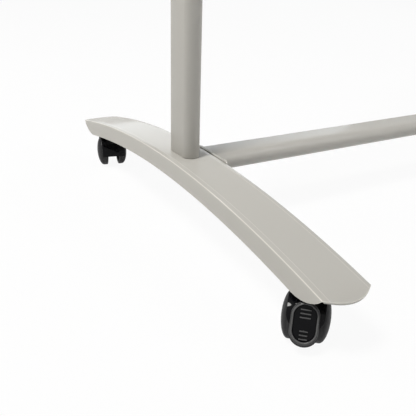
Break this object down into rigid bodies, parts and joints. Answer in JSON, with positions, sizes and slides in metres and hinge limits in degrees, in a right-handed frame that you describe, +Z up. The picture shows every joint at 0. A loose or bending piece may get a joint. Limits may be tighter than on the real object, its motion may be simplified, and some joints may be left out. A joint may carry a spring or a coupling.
{
  "type": "mobile whiteboard",
  "caption": "Double-sided whiteboard that turns between two posts on bowed steel feet, with a pen tray, a cross beam and swivelling twin-wheel casters, the front ones braked.",
  "frame": {"origin": "on the floor, under the middle of the stand", "axes": "+X along the board's width towards the right post, +Y from the front writing face to the back one, +Z up"},
  "size_m": [1.3434, 0.661, 1.8],
  "materials": {
    "stand_paint": "gloss powder coat, warm light grey",
    "caster_plastic": "polished black nylon",
    "steel": "zinc plated",
    "writing_face": "gloss white lacquered steel",
    "board_core": "raw fibreboard",
    "rail_aluminium": "satin anodised",
    "grey_plastic": "fine texture",
    "black_plastic": "fine texture",
    "nylon": "natural nylon"
  },
  "bodies": {
    "stand": {"foot_left": "stand_paint", "foot_right": "stand_paint", "foot_stiffener_left": "steel", "foot_stiffener_right": "steel", "post_left": "stand_paint", "post_right": "stand_paint", "post_cap_left": "black_plastic", "post_cap_right": "black_plastic", "cross_beam": "stand_paint", "post_bolt_left": "steel", "post_bolt_right": "steel", "beam_bolt_left_front": "steel", "beam_bolt_left_back": "steel", "beam_bolt_right_front": "steel", "beam_bolt_right_back": "steel", "caster_socket_front_left": "steel", "caster_socket_front_right": "steel", "caster_socket_back_left": "steel", "caster_socket_back_right": "steel", "caster_stem_front_left": "steel", "caster_stem_front_right": "steel", "caster_stem_back_left": "steel", "caster_stem_back_right": "steel", "pivot_bush_left": "nylon", "pivot_bush_right": "nylon", "pen_tray": "stand_paint"},
    "board": {"board_core": "board_core", "writing_sheet_front": "writing_face", "writing_sheet_back": "writing_face", "frame_rail_top": "rail_aluminium", "frame_rail_bottom": "rail_aluminium", "frame_rail_left": "rail_aluminium", "frame_rail_right": "rail_aluminium", "corner_cap_bottom_left": "grey_plastic", "corner_cap_bottom_right": "grey_plastic", "corner_cap_top_left": "grey_plastic", "corner_cap_top_right": "grey_plastic", "pivot_plate_left": "steel", "pivot_plate_right": "steel"},
    "knob_left": {"lock_knob_left": "black_plastic"},
    "knob_right": {"lock_knob_right": "black_plastic"},
    "caster_front_left": {"caster_hood_front_left": "caster_plastic", "caster_axle_front_left": "steel"},
    "wheel_front_left_a": {"caster_wheel_front_left_a": "caster_plastic"},
    "wheel_front_left_b": {"caster_wheel_front_left_b": "caster_plastic"},
    "pedal_front_left": {"brake_pedal_front_left": "caster_plastic"},
    "caster_front_right": {"caster_hood_front_right": "caster_plastic", "caster_axle_front_right": "steel"},
    "wheel_front_right_a": {"caster_wheel_front_right_a": "caster_plastic"},
    "wheel_front_right_b": {"caster_wheel_front_right_b": "caster_plastic"},
    "pedal_front_right": {"brake_pedal_front_right": "caster_plastic"},
    "caster_back_left": {"caster_hood_back_left": "caster_plastic", "caster_axle_back_left": "steel"},
    "wheel_back_left_a": {"caster_wheel_back_left_a": "caster_plastic"},
    "wheel_back_left_b": {"caster_wheel_back_left_b": "caster_plastic"},
    "caster_back_right": {"caster_hood_back_right": "caster_plastic", "caster_axle_back_right": "steel"},
    "wheel_back_right_a": {"caster_wheel_back_right_a": "caster_plastic"},
    "wheel_back_right_b": {"caster_wheel_back_right_b": "caster_plastic"}
  },
  "joints": [
    {"name": "board_turn", "type": "hinge", "parent": "stand", "child": "board", "pos_m": [0, 0, 1.35], "axis": [1, 0, 0], "continuous": true},
    {"name": "knob_left_turn", "type": "hinge", "parent": "board", "child": "knob_left", "pos_m": [-0.666, 0, 1.35], "axis": [-1, 0, 0], "range_deg": [0, 270]},
    {"name": "knob_right_turn", "type": "hinge", "parent": "board", "child": "knob_right", "pos_m": [0.666, 0, 1.35], "axis": [1, 0, 0], "range_deg": [0, 270]},
    {"name": "swivel_front_left", "type": "hinge", "parent": "stand", "child": "caster_front_left", "pos_m": [-0.63, -0.267, 0.045], "axis": [0, 0, 1], "continuous": true},
    {"name": "spin_front_left_a", "type": "hinge", "parent": "caster_front_left", "child": "wheel_front_left_a", "pos_m": [-0.63903, -0.27635, 0.025], "axis": [0.7193, -0.6947, 0], "continuous": true},
    {"name": "spin_front_left_b", "type": "hinge", "parent": "caster_front_left", "child": "wheel_front_left_b", "pos_m": [-0.63903, -0.27635, 0.025], "axis": [0.7193, -0.6947, 0], "continuous": true},
    {"name": "brake_front_left", "type": "hinge", "parent": "caster_front_left", "child": "pedal_front_left", "pos_m": [-0.65143, -0.28919, 0.0315], "axis": [0.7193, -0.6947, 0], "range_deg": [0, 10]},
    {"name": "swivel_front_right", "type": "hinge", "parent": "stand", "child": "caster_front_right", "pos_m": [0.63, -0.267, 0.045], "axis": [0, 0, 1], "continuous": true},
    {"name": "spin_front_right_a", "type": "hinge", "parent": "caster_front_right", "child": "wheel_front_right_a", "pos_m": [0.63903, -0.27635, 0.025], "axis": [0.7193, 0.6947, 0], "continuous": true},
    {"name": "spin_front_right_b", "type": "hinge", "parent": "caster_front_right", "child": "wheel_front_right_b", "pos_m": [0.63903, -0.27635, 0.025], "axis": [0.7193, 0.6947, 0], "continuous": true},
    {"name": "brake_front_right", "type": "hinge", "parent": "caster_front_right", "child": "pedal_front_right", "pos_m": [0.65143, -0.28919, 0.0315], "axis": [0.7193, 0.6947, 0], "range_deg": [0, 10]},
    {"name": "swivel_back_left", "type": "hinge", "parent": "stand", "child": "caster_back_left", "pos_m": [-0.63, 0.267, 0.045], "axis": [0, 0, 1], "continuous": true},
    {"name": "spin_back_left_a", "type": "hinge", "parent": "caster_back_left", "child": "wheel_back_left_a", "pos_m": [-0.62708, 0.27967, 0.025], "axis": [-0.9744, 0.225, 0], "continuous": true},
    {"name": "spin_back_left_b", "type": "hinge", "parent": "caster_back_left", "child": "wheel_back_left_b", "pos_m": [-0.62708, 0.27967, 0.025], "axis": [-0.9744, 0.225, 0], "continuous": true},
    {"name": "swivel_back_right", "type": "hinge", "parent": "stand", "child": "caster_back_right", "pos_m": [0.63, 0.267, 0.045], "axis": [0, 0, 1], "continuous": true},
    {"name": "spin_back_right_a", "type": "hinge", "parent": "caster_back_right", "child": "wheel_back_right_a", "pos_m": [0.62708, 0.27967, 0.025], "axis": [-0.9744, -0.225, 0], "continuous": true},
    {"name": "spin_back_right_b", "type": "hinge", "parent": "caster_back_right", "child": "wheel_back_right_b", "pos_m": [0.62708, 0.27967, 0.025], "axis": [-0.9744, -0.225, 0], "continuous": true}
  ]
}
